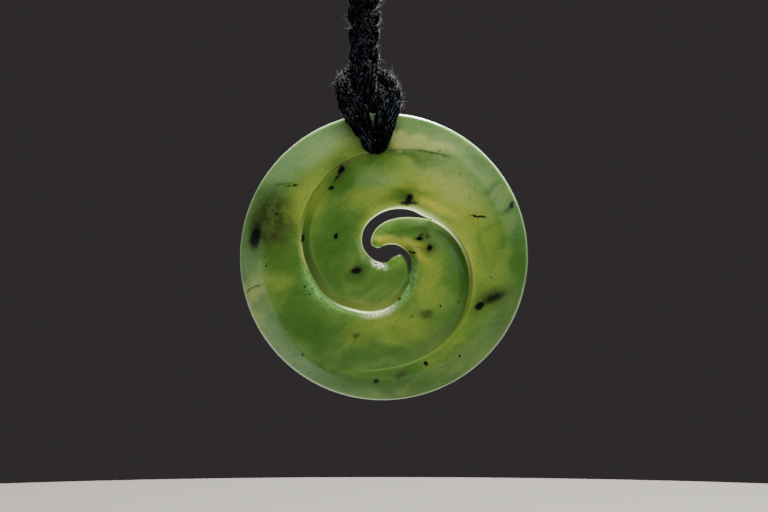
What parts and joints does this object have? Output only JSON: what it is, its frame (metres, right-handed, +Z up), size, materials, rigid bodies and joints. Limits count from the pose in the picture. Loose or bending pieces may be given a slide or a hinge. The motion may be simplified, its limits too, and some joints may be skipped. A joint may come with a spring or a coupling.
{
  "type": "jade spiral pendant on a cord",
  "caption": "Round jade disc carved and pierced as a turning spiral on both faces, hung by a cow hitch from a short cord plait below a neck loop tied at the nape.",
  "frame": {"origin": "where the neck loop lies on the nape, under its lashing", "axes": "+Z up, +X to the right as the carved face is seen, the face looks along -Y, away from the wearer's chest"},
  "size_m": [0.1343, 0.1278, 0.2723],
  "materials": {
    "jade": "polished, slightly translucent green nephrite",
    "cord": "matte black spun cord"
  },
  "bodies": {
    "root": {"spiral_disc": "jade", "hitch_cord_inner": "cord", "hitch_cord_outer": "cord", "plait_strand_1": "cord", "plait_strand_2": "cord", "plait_strand_3": "cord", "plait_strand_4": "cord", "plait_lashing": "cord", "neck_cord_left": "cord", "neck_cord_right": "cord", "nape_lashing": "cord"}
  },
  "joints": []
}
